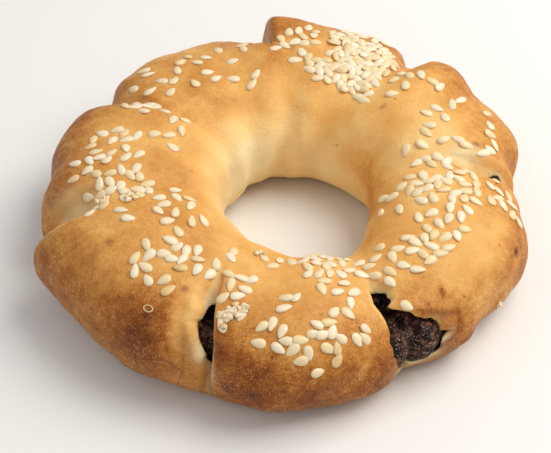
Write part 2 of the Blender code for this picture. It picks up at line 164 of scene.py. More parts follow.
# each segment's reach from the middle and its height, at its start, its middle and its end
Segment = namedtuple("Segment", "name reach height")
SEGMENTS = (
    Segment("right_back", (59.6, 60.0, 63.0), (29.8, 31.2, 31.8)),
    Segment("back", (59.0, 62.2, 65.0), (29.4, 31.0, 32.4)),
    Segment("left_back", (59.6, 62.0, 60.0), (28.0, 29.2, 29.4)),
    Segment("left", (60.0, 62.4, 61.4), (29.4, 32.0, 30.8)),
    Segment("left_front", (66.4, 63.4, 62.4), (30.6, 31.0, 27.6)),
    Segment("front", (61.0, 63.6, 57.6), (27.6, 26.8, 25.2)),
    Segment("right_front", (58.8, 60.6, 58.0), (24.6, 28.4, 27.8)),
)

# %% [markdown]
# A cut starts each segment. Its line slants from the crown to the outer edge. On each side of it the crust
# rolls over in a lip, then drops in a paler face to the bottom of the cut. Two cuts have gaped in the oven:
# there one side stands back from the line, and the filling shows.

# %% The cuts
# A cut has its line as pairs of phi and theta, its depth as a share of the roll, the phi that it runs from
# and to, the width of its floor, its two sides, and how ragged a side is torn where it stands back.
Cut = namedtuple("Cut", "line depth low top floor before after tear")
# A side has the width of its lip, the width of its face, how bare of crust the face is, and how far the side
# stands back from the line. A size that changes round the section is given as pairs of phi and the size.
Side = namedtuple("Side", "lip face bare back")
CUTS = (
    Cut(((0, -3.0), (48, -2.8), (66, -3.6), (86, -3.4), (110, -1.5)), 0.30, -60, 82, 0.5,
        Side(1.8, 0.8, 0.3, ((32, 0.0), (42, 0.9), (50, 0.0))),
        Side(2.4, 2.4, 0.4, ((32, 0.0), (42, 0.5), (50, 0.0))), 0.2),
    Cut(((0, 47.0), (90, 48.4)), 0.42, -60, 70, 0.3,
        Side(2.6, 1.6, 0.2, 0.0), Side(2.6, 1.6, 0.2, 0.0), 0.0),
    Cut(((0, 97.7), (90, 95.4)), 0.26, -60, 70, 0.3,
        Side(2.0, 0.7, 0.2, 0.0), Side(3.4, 1.6, 0.1, 0.0), 0.0),
    Cut(((0, 148.6), (60, 150.4), (90, 149.6)), 0.30, -60, 66, 0.3,
        Side(2.6, 2.6, 0.2, 0.0), Side(1.6, 0.6, 0.2, 0.0), 0.0),
    Cut(((0, 197.0), (90, 202.0)), 0.25, -60, 64, 0.4,
        Side(2.4, 5.0, 0.6, 0.0), Side(2.0, 1.0, 0.2, 0.0), 0.0),
    Cut(((-10, 251.4), (20, 251.8), (32, 251.4), (54, 249.8), (68, 248.8), (82, 248.5), (96, 247.0)),
        0.34, -24, 80, 0.5,
        Side(4.4, ((0, 1.2), (12, 1.2), (22, 0.5), (42, 0.4), (58, 0.4), (67, 1.7), (88, 1.7)), 1.0,
             ((26, 0.0), (31, 0.2), (38, 0.8), (44, 1.6), (49, 2.0), (56, 1.3), (61, 0.8), (67, 0.8),
              (75, 0.6), (84, 0.0))),
        Side(1.5, 0.5, 0.3, 0.0), 0.2),
    Cut(((-14, 299.7), (0, 298.8), (16, 297.8), (28, 297.1), (45, 295.7), (66, 294.7), (80, 295.3),
         (96, 296.4)),
        0.38, -28, 80, 0.6, Side(1.6, 0.6, 0.6, 0.0),
        Side(1.4, ((-10, 0.5), (60, 0.5), (66, 1.6), (84, 1.6)), 1.0,
             ((-5, 0.0), (-3, 1.6), (-1, 4.4), (1, 5.0), (6, 5.4), (9, 6.6), (12, 8.6), (14, 11.2),
              (15.5, 10.4), (18, 9.0), (22.5, 7.7), (28.5, 6.5), (36, 4.9), (45, 4.6), (50, 4.3), (55, 2.7),
              (58.5, 1.1), (61, 0.8), (65, 1.5), (70, 2.0), (74, 1.9), (78, 1.2), (84, 0.0))), 0.35),
)

# %% [markdown]
# The skin has soft folds where the dough was pleated or pulled, each a long low ridge or furrow.

# %% Folds and swellings
# A fold has its middle, its heading in degrees from the run of the ring, and its spread along and across that
# heading and its height in mm. Less than 0 high is a furrow.
Fold = namedtuple("Fold", "theta phi heading long wide height")


def table(kind, *rows):
    return [kind(*row) for row in rows]


FOLDS = table(
    Fold,
    # pleats and creases
    (243.2, 44, 100, 8, 1.5, -1.5), (285, 12, 44, 8, 1.4, -0.9), (309, 14, -50, 11, 2.2, 0.9),
    (309, -14, -30, 9, 4, -1.2), (160, 182, 60, 5, 2, -0.9), (16, 165, 90, 9, 1.8, -0.7),
    (222, 24, 20, 11, 4, 0.5), (118, 60, 0, 10, 4, -0.5), (307.6, 41, -37, 5, 1.6, 0.5),
    (305.4, 33, -37, 4.5, 1.5, -0.6), (311.4, 51, 80, 1.6, 1, 0.5),
    # bulges between the cuts
    (341, 0, 0, 7, 11, 2.4), (13, 25, 90, 10, 5, 2.4), (38, 62, 0, 5, 8, 2.2), (163, 24, 0, 6, 9, 0.9),
    (130, 38, 0, 5, 8, 1), (352, 18, 0, 4, 6, 0.5), (218, -20, 0, 6, 6, 0.4), (189, 3, 0, 4, 7, 0.6),
    (201, 27, 0, 3.5, 6, 0.6), (240, -26, 0, 6, 6, 0.4), (340, 180, 0, 7, 12, 2.3),
    (154, -148, 0, 3, 5, 1.2),
    # hollows beside the cuts and under the sides
    (4.5, 0, 0, 4.5, 10, -3.2), (30, 34, 0, 5, 8, -1.2), (53, 32, 0, 3, 10, -2.6),
    (84, 44, 0, 5, 7, -0.7), (101, 42, 0, 4, 8, -0.8), (120, 40, 0, 6, 9, -1),
    (145.5, 34, 0, 3.2, 9, -3.4), (155, 60, 0, 3, 5, -1), (54, 22, 0, 2.5, 6, -1),
    (151, 36, 0, 3.4, 12, -3.4), (178, 15, 0, 5, 9, -1.6), (222, -25, 0, 7, 7, -1.1),
    (257, -28, 0, 6, 7, -1.6), (284, -30, 0, 10, 8, -1.7), (300, -30, 0, 5, 6, -1.5),
    (322, -18, 0, 5, 9, -2.4), (351, 14, 0, 5, 9, -1.2), (206, 176, 0, 4, 8, -1.8),
    (177, -162, 0, 3, 8, -1.1), (230, 156, 0, 5, 6, -0.7), (299, 146, 0, 5, 7, -1.8),
    (114, 212, 0, 5, 7, -0.7), (86, 214, 0, 6, 7, -0.6),
)

# %% [markdown]
# The filling lies in the middle of the roll all the way round, and swells out where a cut has gaped. The room
# that it lies in is a little larger, so that the two never touch.

# %% The room for the filling
# A swell has its middle, its spread in degrees along the ring and round the section, and how much it adds.
Swell = namedtuple("Swell", "theta phi along around share")
ROOM_SHARE = 0.56  # share of the way from the core of the roll to its crust
ROOM = table(
    Swell,
    (250.5, 36, 7, 22, 0.29), (301.5, 20, 10, 38, 0.35), (356.5, 42, 4, 9, 0.30),
)
FILLING_GAP = 0.45  # mm
FILLING_DIPS = table(
    Swell,
    (301, 66, 11, 17, -0.36), (299.6, 20, 1.3, 40, -0.20), (311, 16, 3.5, 14, -0.05),
    (248, 64, 7, 16, -0.20), (252, 8, 3.5, 8, -0.06), (250.5, 34, 6, 26, -0.12),
)


# %% Small rules that the shapes share
def eased(value):
    """From 0 to 1 with a soft start and a soft end."""
    value = np.clip(value, 0.0, 1.0)
    return value * value * (3.0 - 2.0 * value)


def wrapped(degrees):
    """The same angle between -180 and 180."""
    return (np.asarray(degrees) + 180.0) % 360.0 - 180.0


def through(values, share):
    """A smooth run through a start, a middle and an end."""
    start, middle, end = values
    bend = start - 2.0 * middle + end
    return start + (4.0 * middle - 3.0 * start - end) * share + 2.0 * bend * share * share


def bell(theta, phi, swell):
    """How much of a swell there is at each place: all of it at its middle, and less further out."""
    along = wrapped(theta - swell.theta) / swell.along
    around = wrapped(phi - swell.phi) / swell.around
    return swell.share * np.exp(-0.5 * (along * along + around * around))


def section_size(theta, reach, height):
    """Core radius, half width and widest level of the roll, in mm."""
    turn = np.radians(theta)
    inner = HOLE_RADIUS + HOLE_OFFSET[0] * np.cos(turn) + HOLE_OFFSET[1] * np.sin(turn)
    inner = inner + HOLE_STRETCH * np.cos(2.0 * (turn - math.radians(HOLE_STRETCH_HEADING)))
    return (inner + reach) / 2.0, (reach - inner) / 2.0, WIDEST_LEVEL * height


def place(theta, phi, reach, height, share, lift):
    """Points at angle phi of the section, at share of the way to the crust, raised by lift mm."""
    core, half, level = section_size(theta, reach, height)
    across = np.cos(np.radians(phi))
    up = np.sin(np.radians(phi))
    power = 2.0 / np.where(up >= 0.0, CROWN_POWER, BASE_POWER)
    rise = np.where(up >= 0.0, height - level, level + BASE_SAG)
    across = half * np.sign(across) * np.abs(across) ** power
    up = rise * np.sign(up) * np.abs(up) ** power
    share = share + lift / np.sqrt(across * across + up * up)
    radius = core + share * across
    z = np.maximum(level + share * up, 0.0)
    turn = np.radians(theta)
    return np.stack([radius * np.cos(turn), radius * np.sin(turn), z], axis=-1)


# %% [markdown]
# ## The dough
# The columns of the sheet follow the slanted lines of the cuts, and crowd together at each lip, so that the
# folds of the crust stay crisp while the smooth stretches between them need few faces.

# %% How a cut shapes the columns beside it
CUT_END = 16.0  # degrees over which a cut runs out at its ends
TORN_WAVES = 7
LIP_DROP = 0.6  # of the depth of the cut, the most that its lip rolls over


def read_off(size, phi):
    """A size at angle phi round the section: one number, or pairs of an angle and a number."""
    if isinstance(size, tuple):
        return np.interp(phi, [pair[0] for pair in size], [pair[1] for pair in size])
    return size + 0.0 * phi  # as many numbers as phi has


def line_of(cut, phi):
    return read_off(cut.line, phi)


def depth_of(cut, phi):
    rise = eased((phi - cut.low + CUT_END) / (2.0 * CUT_END))
    fall = eased((cut.top + CUT_END - phi) / (2.0 * CUT_END))
    return cut.depth * rise * fall


def torn(phi, seed):
    """A ragged line along a torn edge, about 1 at most."""
    draw = random.Random(seed)
    waves = [(draw.uniform(0.2, 0.9), draw.uniform(0, 6.3), draw.uniform(0.4, 1.0))
             for _ in range(TORN_WAVES)]
    return sum(size * np.sin(rate * phi + start) / (1.0 + rate) for rate, start, size in waves) / 2.0


def side_stations(cut, side, phi, seed):
    """Distances from the line of the cut in mm, each with its share of the roll and how bare and thin it is.

    They run up the face, then over the lip along a quarter of a circle."""
    depth = depth_of(cut, phi)
    back = read_off(side.back, phi)
    face = read_off(side.face, phi)
    drop = np.minimum(LIP_DROP * depth, side.lip / SECTION_RADIUS)
    foot = cut.floor / 2.0 + back + cut.tear * np.minimum(back, 1.0) * torn(phi, seed)
    bare = side.bare * depth / cut.depth
    thin = depth / cut.depth
    stations = [(foot * 0.5, 1.0 - depth, bare, thin)]
    for step in range(FACE_STEPS + 1):
        part = step / FACE_STEPS
        share = (1.0 - depth) * (1.0 - part) + (1.0 - drop) * part
        stations.append((foot + face * part, share, bare * (1.0 - part ** 4), thin))
    for step in range(1, LIP_STEPS + 1):
        part = step / LIP_STEPS
        fall = 1.0 - math.sqrt(1.0 - (1.0 - part) ** 2)
        stations.append((foot + face + side.lip * part, 1.0 - drop * fall, 0.0 * phi, thin * (1.0 - part)))
    return stations


# %% Lay out the columns of the crust
ROWS = 146  # points round the section
FINER = 0.9  # how much closer together they are on the outer side
FINE_FROM = -50.0  # phi
FINE_TO = 105.0
FINE_EASE = 30.0
FACE_STEPS = 4
LIP_STEPS = 6
BETWEEN = 54  # columns between the lips of two cuts
BLEND = 18.0  # degrees over which two segments run into each other where no cut parts them
CROWN_RADIUS = 42.0  # mm from the ring's middle to the crown
HALF_WIDTH = 19.0  # mm more on the outer side
AFTER_SEED = 31  # of the ragged lines on the two sides of a cut
BEFORE_SEED = 51


def ring_radius(phi):
    """About how far from the ring's middle the crust is, in mm."""
    return CROWN_RADIUS + HALF_WIDTH * np.cos(np.radians(phi))


def row_angles():
    """Angles round the section, closer together on the outer side, where the cuts are."""
    angle = np.arange(ROWS + 1) * 360.0 / ROWS - 180.0
    fine = 1.0 + FINER * eased((angle - FINE_FROM) / FINE_EASE) * eased((FINE_TO - angle) / FINE_EASE)
    step = 1.0 / ((fine[1:] + fine[:-1]) / 2.0)
    return -180.0 + np.concatenate([[0.0], np.cumsum(step)[:-1]]) * 360.0 / step.sum()


def segment_size(index, angle, phi, start, finish):
    """Reach and height of a segment, run into its neighbours' wherever no cut parts them."""
    count = len(SEGMENTS)
    past, own, coming = SEGMENTS[index - 1], SEGMENTS[index], SEGMENTS[(index + 1) % count]
    cut, next_cut = CUTS[index], CUTS[(index + 1) % count]
    part = np.clip((angle - start) / (finish - start), 0.0, 1.0)
    near = eased(1.0 - (angle - start) / BLEND) * (1.0 - depth_of(cut, phi) / cut.depth)
    far = eased(1.0 - (finish - angle) / BLEND) * (1.0 - depth_of(next_cut, phi) / next_cut.depth)
    return [through(here, part) + near * (before[2] - here[0]) / 2.0 + far * (after[0] - here[2]) / 2.0
            for before, here, after in zip(past[1:], own[1:], coming[1:])]


def crust_grid():
    """Columns along the ring by rows round the section.

    Each point has its two angles, the reach and height of the roll there, its share of the roll, and how
    bare of crust and how thin it is."""
    phi = row_angles()
    flat = np.ones(ROWS)
    # past the crown, towards the hole, a distance in mm keeps the angle that it has at the crown
    degrees = np.degrees(1.0 / np.where(np.abs(phi) < 90.0, ring_radius(phi), CROWN_RADIUS))
    columns = []
    count = len(CUTS)
    for index, cut in enumerate(CUTS):
        past = SEGMENTS[index - 1]
        own = SEGMENTS[index]
        coming = CUTS[(index + 1) % count]
        start = line_of(cut, phi)
        finish = line_of(coming, phi) + (360.0 if index == count - 1 else 0.0)
        reach = (past.reach[2] + own.reach[0]) / 2.0
        height = (past.height[2] + own.height[0]) / 2.0
        depth = depth_of(cut, phi)
        open_there = depth / cut.depth
        columns.append((start, reach * flat, height * flat, 1.0 - depth, open_there, open_there))
        rising = side_stations(cut, cut.after, phi, AFTER_SEED + index)
        falling = side_stations(coming, coming.before, phi, BEFORE_SEED + index)
        skin = [(start + distance * degrees, *rest) for distance, *rest in rising]
        first = skin[-1][0]
        last = finish - falling[-1][0] * degrees
        for step in range(1, BETWEEN + 1):
            skin.append((first + (last - first) * step / (BETWEEN + 1.0), flat, 0.0 * flat, 0.0 * flat))
        skin.extend((finish - distance * degrees, *rest) for distance, *rest in reversed(falling))
        for angle, *rest in skin:
            columns.append((angle, *segment_size(index, angle, phi, start, finish), *rest))
    theta, reach, height, share, bare, thin = (np.array([column[k] for column in columns]) for k in range(6))
    return theta, np.broadcast_to(phi, theta.shape), reach, height, share, bare, thin


# %% Low swells of the crust
WAVES = 12  # slow waves that run round the ring and round the section at once
LEFT_ON_BASE = 0.15  # share of the unevenness that the pressed base keeps


def ridge(theta, phi, fold):
    """How high a fold stands at each place: a bell across it, and along it one that ends sooner."""
    along = np.radians(wrapped(theta - fold.theta)) * ring_radius(fold.phi)
    around = np.radians(wrapped(phi - fold.phi)) * SECTION_RADIUS
    turn = math.radians(fold.heading)
    run = (along * math.cos(turn) + around * math.sin(turn)) / fold.long
    off = (around * math.cos(turn) - along * math.sin(turn)) / fold.wide
    return fold.height * np.exp(-0.5 * (run * run + off * off) - 0.15 * run ** 4)


def unevenness(theta, phi):
    """Low swells and folds of the crust in mm, and hardly any on the base."""
    draw = random.Random(7)
    total = np.zeros(theta.shape)
    for _ in range(WAVES):
        waves = draw.randint(3, 13)
        turns = draw.randint(-2, 2)
        size = draw.uniform(0.08, 0.2)
        total += size * np.sin(np.radians(waves * theta + turns * phi + draw.uniform(0, 360)))
    for fold in FOLDS:
        total += ridge(theta, phi, fold)
    above_base = eased((np.sin(np.radians(phi)) + 0.95) / 0.5)
    return total * (LEFT_ON_BASE + (1.0 - LEFT_ON_BASE) * above_base)


# %% Start a piece from a sheet
def ring_piece(name, points):
    """A sheet with a vertex for each of the points, in mm, rolled up and joined at both seams."""
    columns, rows = points.shape[:2]
    deselect()
    bpy.ops.mesh.primitive_grid_add(x_subdivisions=rows, y_subdivisions=columns, size=0.1)
    piece = bpy.context.object
    piece.name = name
    piece.data.name = name
    closed = np.concatenate([points, points[:1]], axis=0)
    closed = np.concatenate([closed, closed[:, :1]], axis=1) * MM + np.array(RING_MIDDLE)
    piece.data.vertices.foreach_set("co", closed.reshape(-1).astype(np.float32))
    piece.data.update()
    bpy.ops.object.mode_set(mode="EDIT")
    bpy.ops.mesh.select_all(action="SELECT")
    bpy.ops.mesh.remove_doubles(threshold=1e-7)
    bpy.ops.mesh.normals_make_consistent(inside=False)
    bpy.ops.object.mode_set(mode="OBJECT")
    bpy.ops.object.shade_smooth()
    print(name, "faces", len(piece.data.polygons))
    return piece


def apply_modifier(piece, name):
    """Make what a modifier shows part of the mesh."""
    deselect()
    piece.select_set(True)
    bpy.context.view_layer.objects.active = piece
    bpy.ops.object.modifier_apply(modifier=name)


def roughen(piece, name, grain, height):
    """Push the skin in and out by a cloud pattern of that grain and height, in mm."""
    pattern = bpy.data.textures.new(name, "CLOUDS")
    pattern.noise_scale = grain * MM
    pattern.noise_depth = 2
    push = piece.modifiers.new(name, "DISPLACE")
    push.texture = pattern
    push.texture_coords = "LOCAL"
    push.strength = height * MM
    push.mid_level = 0.5
    apply_modifier(piece, name)


# %% Model the dough
theta, phi, reach, height, share, bare, thin = crust_grid()
points = place(theta, phi, reach, height, share, unevenness(theta, phi))
dough = ring_piece("brioche_dough", points)
roughen(dough, "dimples", 9.0, 0.7)
roughen(dough, "skin", 2.2, 0.22)
for vertex in dough.data.vertices:  # the base lay on the tray, so nothing of it reaches lower
    vertex.co.z = max(vertex.co.z, 0.0)


# %% [markdown]
# The room for the filling is a second ring, taken away from the dough with a Boolean. Where a cut is deeper
# than the crust over the room, this opens the mouth, and leaves the crust as thick there as torn dough is.

# %% Hollow the dough
ROOM_MESH = (300, 60)  # points along the ring and round the section
FILLING_MESH = (480, 120)


def room_share(theta, phi):
    return ROOM_SHARE + sum(bell(theta, phi, swell) for swell in ROOM)


def room_points(columns, rows, filling):
    """The room inside the dough, or the filling a small gap inside it."""
    theta, phi = np.meshgrid(np.arange(columns) * 360.0 / columns,
                             wrapped(np.arange(rows) * 360.0 / rows), indexing="ij")
    lines = [float(line_of(cut, 0.0)) for cut in CUTS]
    lines.append(lines[0] + 360.0)
    sizes = np.zeros((2, *theta.shape))
    turned = lines[0] + (theta - lines[0]) % 360.0
    for index, own in enumerate(SEGMENTS):
        inside = (turned >= lines[index]) & (turned < lines[index + 1])
        blend = eased((turned - lines[index]) / (lines[index + 1] - lines[index]))
        past = SEGMENTS[index - 1]
        coming = SEGMENTS[(index + 1) % len(SEGMENTS)]
        for row, (before, here, after) in enumerate(zip(past[1:], own[1:], coming[1:])):
            low = (before[1] + here[1]) / 2.0
            high = (after[1] + here[1]) / 2.0
            sizes[row] = np.where(inside, low + (high - low) * blend, sizes[row])
    share = room_share(theta, phi)
    if filling:
        for swell in FILLING_DIPS:
            share += bell(theta, phi, swell)
    return place(theta, phi, *sizes, share, -FILLING_GAP if filling else 0.0)


def take_away(piece, tool):
    """Subtract the tool's form from the piece, and drop the tool."""
    cut = piece.modifiers.new("take_away", "BOOLEAN")
    cut.operation = "DIFFERENCE"
    cut.solver = "MANIFOLD"
    cut.object = tool
    apply_modifier(piece, "take_away")
    bpy.data.objects.remove(tool)


room = ring_piece("room", room_points(*ROOM_MESH, False))
roughen(room, "tears", 1.3, 0.8)  # this makes the edges of the mouths ragged
take_away(dough, room)
print("dough triangles", sum(len(p.vertices) - 2 for p in dough.data.polygons))


# %% [markdown]
# ## How browned each part is
# The oven browns what stands out: the crown is golden, the outer sides are brown, and the wall of the hole
# and the faces of the cuts stay pale. Painted light and shade are added to the same colours: places are made
# darker where the light leaves them in shade, and paler where it falls full. Six numbers at each vertex hold
# this for the crust's material: how baked it is, with the painted light and shade in the same number, how
# much of it is bare crumb, how stained by the filling, with painted shade in the gap round it, how floury,
# how olive because it is low down or under a fold, partly painted shade, and how scorched.

# %% Where each vertex lies in the roll
MIDDLE_RADIUS = 41.0  # mm from the ring's middle to the core of the roll, on the average
MIDDLE_LEVEL = 12.5  # mm from the floor to the core
SIDE_LEVEL = 13.0  # mm from the floor to where phi is about 0 on the outer side


def roll_place(piece):
    """For each vertex: angle along the ring, angle round the section and share of the way to the crust."""
    co = np.empty(len(piece.data.vertices) * 3, dtype=np.float32)
    piece.data.vertices.foreach_get("co", co)
    co = (co.reshape(-1, 3) - np.array(RING_MIDDLE)) / MM
    theta = np.degrees(np.arctan2(co[:, 1], co[:, 0])) % 360.0
    radius = np.hypot(co[:, 0], co[:, 1])
    rough_phi = np.degrees(np.arctan2(co[:, 2] - SIDE_LEVEL, radius - MIDDLE_RADIUS))
    reach = np.zeros(len(theta))
    height = np.zeros(len(theta))
    for index in range(len(SEGMENTS)):
        start = line_of(CUTS[index], rough_phi)
        length = (line_of(CUTS[(index + 1) % len(CUTS)], rough_phi) - start) % 360.0
        angle = start + (theta - start) % 360.0
        own = segment_size(index, angle, rough_phi, start, start + length)
        inside = angle < start + length
        reach = np.where(inside, own[0], reach)
        height = np.where(inside, own[1], height)
    core, half, level = section_size(theta, reach, height)
    across = (radius - core) / half
    above = co[:, 2] - level
    up = np.where(above >= 0.0, above / (height - level), above / (level + BASE_SAG))
    power = np.where(up >= 0.0, CROWN_POWER, BASE_POWER)
    share = (np.abs(across) ** power + np.abs(up) ** power) ** (1.0 / power)
    phi = np.degrees(np.arctan2(np.sign(up) * np.abs(up) ** (power / 2.0),
                                np.sign(across) * np.abs(across) ** (power / 2.0)))
    return theta, phi, share


def store(piece, name, values):
    """Keep a number at each vertex, for the piece's material to read."""
    field = piece.data.attributes.new(name, "FLOAT", "POINT")
    field.data.foreach_set("value", values.astype(np.float32))


# %% Bake, crumb, stain and flour
# how baked the crust is round the section, how floury, and how olive, the olive partly painted shade on the
# low sides, as angles with a number for each
BAKE_PHI = (-180, -150, -120, -95, -60, -25, 0, 30, 60, 80, 100, 118, 140, 160, 180)
BAKE = (0.10, 0.12, 0.45, 0.60, 0.72, 0.78, 0.77, 0.67, 0.53, 0.47, 0.43, 0.40, 0.28, 0.14, 0.10)
FLOUR_PHI = (-95, -60, -10, 25, 55)
FLOUR = (0.5, 1.0, 1.0, 0.5, 0.0)
OLIVE_AND_SHADE_PHI = (-180, -120, -60, -35, -8)
OLIVE_AND_SHADE = (0.0, 0.7, 1.0, 0.8, 0.0)
CUT_PALER = 0.24  # the lips and faces of a cut are paler
CUT_PALER_FROM = -40.0  # phi
# browned and pale places where the oven was hotter or cooler, and painted light and shade: spots made darker
# where the light leaves the dough in shade, as on the wall of the hole turned from the key lamp, and paler
# where it falls full
BAKED_AND_SHADED_SPOTS = table(
    Swell,
    (218, 33, 7, 13, -0.10), (226, -14, 16, 13, -0.04), (338, 42, 7, 10, -0.10),
    (318, 48, 8, 11, -0.15), (233, 46, 6, 12, 0.05), (237.5, 20, 3.2, 12, 0.14),
    (214, 118, 12, 24, 0.09), (190, 128, 10, 16, 0.09), (203, 24, 4, 14, 0.12),
    (235.2, 28, 3.6, 20, 0.14), (243.8, 32, 1.9, 22, -0.20), (247.4, 44, 1.2, 20, 0.06),
    (263, 24, 7, 15, 0.20), (272, -6, 12, 18, 0.12), (286, 104, 11, 14, -0.12),
    (328, 66, 14, 14, -0.09), (306, 62, 5, 14, 0.08), (328, 4, 10, 24, -0.12), (16, 5, 13, 28, -0.12),
    (96.2, 58, 2.2, 22, 0.26), (305, 36, 7, 16, 0.05), (344, 114, 13, 13, -0.10),
    (12, 112, 9, 13, -0.06), (344, 170, 15, 17, 0.42), (18, 170, 17, 17, 0.40), (312, 142, 8, 12, 0.20),
    (36, 62, 10, 16, 0.10), (14, 92, 12, 16, -0.11), (88, 166, 14, 13, 0.07), (92, 66, 6, 20, 0.12),
    (150, 74, 6, 26, 0.15), (253.4, 42, 1.8, 13, 0.22), (268, 36, 6, 13, -0.09),
    (283.5, 56, 3.5, 8, 0.16), (259, 58, 3, 6, 0.10), (241.5, 8, 3, 8, 0.12), (253, 73, 2.6, 5, 0.12),
    (126, 160, 24, 18, -0.10), (130, 112, 14, 12, 0.10), (128, 42, 10, 12, -0.12),
    (172, 34, 12, 18, 0.14),
)
# small dark marks, where sugar or a speck of filling burnt: folds of browning and not of height, as the
# lines below are too
SCORCHED = table(
    Fold,
    (262.2, 3, 0, 0.9, 0.6, 0.9), (268.8, 10, 0, 0.6, 0.4, 0.8), (265.5, 15, 60, 0.5, 0.4, 0.7),
    (335.8, 23, 80, 0.9, 0.6, 1.3), (236, 38, 70, 0.8, 0.4, 0.8), (241, 68, 40, 0.7, 0.5, 0.6),
    (4.6, 72, 0, 0.7, 0.6, 0.9), (88.4, 86, 0, 0.9, 0.7, 0.5), (35.1, 114, 0, 0.6, 0.6, 0.5),
    (216.4, 64, 30, 0.9, 0.6, 0.5), (231, 44, 60, 0.8, 0.4, 0.6),
)
# places with hardly any crust: the ends of a slit, and where two sides stood against each other
BARE_SPOTS = table(
    Swell,
    (251, 24, 1, 9, 1), (296.4, 78, 1, 6, 1), (196.5, 42, 3, 14, 0.5), (0.5, 82, 2.4, 9, 0.8),
    (300.5, -14, 3.2, 14, 1), (304, -10, 2.4, 7, 1),
)
BARE_LINES = table(
    Fold,
    (250.6, 20, 109, 4.6, 1.2, 0.9), (306.5, 6, 51, 3.2, 0.8, 1),
)
# duller, olive places: skin that stood under a fold, olive partly from less heat and partly painted shade
# under the fold
DULL_AND_SHADED_SPOTS = table(
    Swell,
    (305.5, 31, 2.6, 8, 1.4), (225, -16, 15, 13, 0.6), (194, 36, 4, 14, 0.8), (252.4, 66, 3, 12, 0.3),
    (247.4, 33, 1.5, 11, 0.5),
)
# brown lines along folds of the crust, partly browned where the fold stood up into the heat and partly painted
# shade along the fold, less than 0 for a pale one down in a crease
BAKED_AND_SHADED_LINES = table(
    Fold,
    (306.8, 38.5, -37, 5.4, 0.5, 0.28), (312, 21, -96, 2.8, 0.5, 0.25),
    (310.5, 51, 80, 1.4, 0.35, 0.45), (241.2, 34, 106, 8, 0.7, 0.12), (285, 10, 54, 6, 1, -0.25),
)


def nearest_values(points, values, piece):
    """The value of the nearest of the points, for each vertex of the piece."""
    tree = KDTree(len(points))
    for index, point in enumerate(points):
        tree.insert(point, index)
    tree.balance()
    return values[[tree.find(vertex.co)[1] for vertex in piece.data.vertices]]


laid = np.stack([bare, thin], axis=-1).reshape(-1, 2)
near = nearest_values(points.reshape(-1, 3) * MM + np.array(RING_MIDDLE), laid, dough)
theta, phi, share = roll_place(dough)
bake_and_shade = np.interp(phi, BAKE_PHI, BAKE) - CUT_PALER * near[:, 1] * (phi > CUT_PALER_FROM)
crumb = near[:, 0].copy()
# the spots and lines add painted light and shade to the bake number as well as browning
for spot in BAKED_AND_SHADED_SPOTS:
    bake_and_shade += bell(theta, phi, spot)
for line in BAKED_AND_SHADED_LINES:
    bake_and_shade += ridge(theta, phi, line)
for spot in BARE_SPOTS:
    crumb = np.maximum(crumb, bell(theta, phi, spot))
for line in BARE_LINES:
    crumb = np.maximum(crumb, ridge(theta, phi, line))
wall = room_share(theta, phi) - share  # about 0 on the wall of the room, and less than 0 outside it
store(dough, "bake_and_shade", bake_and_shade)
store(dough, "crumb", np.clip(np.maximum(crumb, eased((wall + 0.06) / 0.04)), 0.0, 1.0))
# the stain is the filling's own stain on the dough, and painted shade in the dark gap round the filling
store(dough, "stain_and_shade", eased((wall + 0.04) / 0.04))
store(dough, "flour", np.interp(phi, FLOUR_PHI, FLOUR) * (1.0 - crumb))
# how olive: the underside's own duller colour, and painted shade on the low sides and under folds
olive_and_shade = np.interp(phi, OLIVE_AND_SHADE_PHI, OLIVE_AND_SHADE)
for spot in DULL_AND_SHADED_SPOTS:
    olive_and_shade = np.maximum(olive_and_shade, bell(theta, phi, spot))
store(dough, "olive_and_shade", olive_and_shade)
scorch = np.zeros(len(phi))
for mark in SCORCHED:
    scorch = np.maximum(scorch, ridge(theta, phi, mark))
store(dough, "scorch", scorch)
print("bake from", round(float(bake_and_shade.min()), 2), "to", round(float(bake_and_shade.max()), 2))


# %% [markdown]
# ## Egg-washed crust
# A baked sweet crust is a thin skin over pale crumb. It is golden where thin and brown where the oven reached
# it, mottled, with darker spots where sugar caught, fine flour left on its lower sides, and a soft sheen.

# %% The crust's material
def colour_ramp(tree, factor, stops):
    ramp = add_node(tree, "ShaderNodeValToRGB", i0=factor)
    while len(ramp.color_ramp.elements) < len(stops):
        ramp.color_ramp.elements.new(1.0)
    for element, (position, colour) in zip(ramp.color_ramp.elements, stops):
        element.position = position
        element.color = linear(colour)
    return ramp.outputs["Color"]


def noise_field(tree, where, size, detail=2.0):
    """Cloudy noise whose patches are about size mm across."""
    noise = add_node(tree, "ShaderNodeTexNoise", Vector=where, Scale=1.0 / (size * MM), Detail=detail)
    return noise.outputs[0]


def cells(tree, where, size):
    """Cells about size mm apart: how far a place is from its cell's middle, and the cell's own number."""
    found = add_node(tree, "ShaderNodeTexVoronoi", Vector=where, Scale=1.0 / (size * MM))
    own = add_node(tree, "ShaderNodeSeparateColor", Color=found.outputs["Color"]).outputs[0]
    return found.outputs["Distance"], own


def maths(tree, operation, *values):
    links = {f"i{place}": value for place, value in enumerate(values)}
    return add_node(tree, "ShaderNodeMath", {"operation": operation}, **links).outputs[0]


def mapped(tree, value, low, high, at_low, at_high):
    """at_low where the value is low or less, at_high where it is high or more, and evenly between."""
    return add_node(tree, "ShaderNodeMapRange", Value=value, From_Min=low, From_Max=high,
                    To_Min=at_low, To_Max=at_high).outputs[0]


def mixed(tree, share, first, second):
    """The first colour where share is 0, and the second where it is 1."""
    return add_node(tree, "ShaderNodeMix", {"data_type": "RGBA"}, i0=share, i6=first, i7=second).outputs[2]


def stored(tree, name):
    """A number that the piece keeps at its vertices."""
    return add_node(tree, "ShaderNodeAttribute", {"attribute_name": name}).outputs["Fac"]


